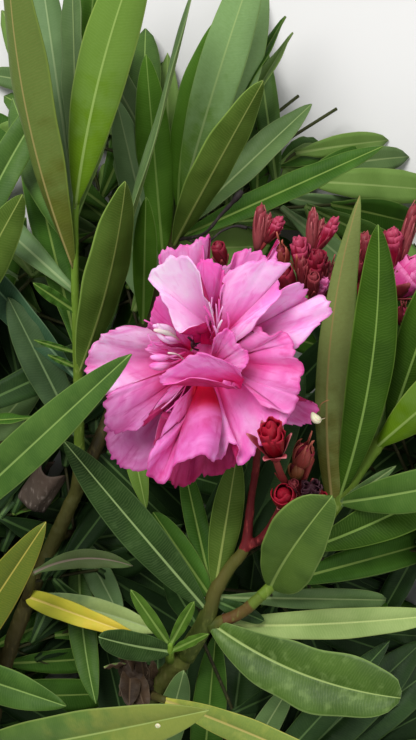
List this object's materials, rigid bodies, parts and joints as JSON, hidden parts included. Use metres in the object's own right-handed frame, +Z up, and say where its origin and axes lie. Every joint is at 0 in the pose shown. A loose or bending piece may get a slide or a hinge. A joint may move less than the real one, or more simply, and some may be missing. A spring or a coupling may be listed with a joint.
{
  "type": "cut flowering oleander branch",
  "caption": "Cut, forking branch of pink double-flowered oleander with long leathery leaves, bud clusters and an open bloom, lying flat.",
  "frame": {"origin": "on the ground, under the middle of the branch's outline", "axes": "+Y from the cut end towards the shoot tips, +X across the branch to its right shoot, +Z up from the ground that it lies on"},
  "size_m": [0.2984, 0.3326, 0.112],
  "materials": {
    "bark": "matt brown bark, greener towards the shoots",
    "red_stalk": "satin, red-brown",
    "leaves": "leathery, satin, with a pale midrib",
    "buds": "satin, crimson",
    "petals": "soft, pink, finely veined"
  },
  "bodies": {
    "root": {"main_stem": "bark", "left_bough": "bark", "outer_left_bough": "bark", "flower_bough": "bark", "side_bough": "bark", "flower_stalk": "red_stalk", "outer_left_leaves": "leaves", "left_shoot_leaves": "leaves", "middle_shoot_leaves": "leaves", "low_left_leaves": "leaves", "low_middle_leaves": "leaves", "fork_leaves": "leaves", "small_leaves": "leaves", "low_leaves": "leaves", "pale_leaf": "leaves", "right_shoot_leaves": "leaves", "upper_buds": "buds", "right_buds": "buds", "lower_buds": "buds", "bloom": "petals"}
  },
  "joints": []
}
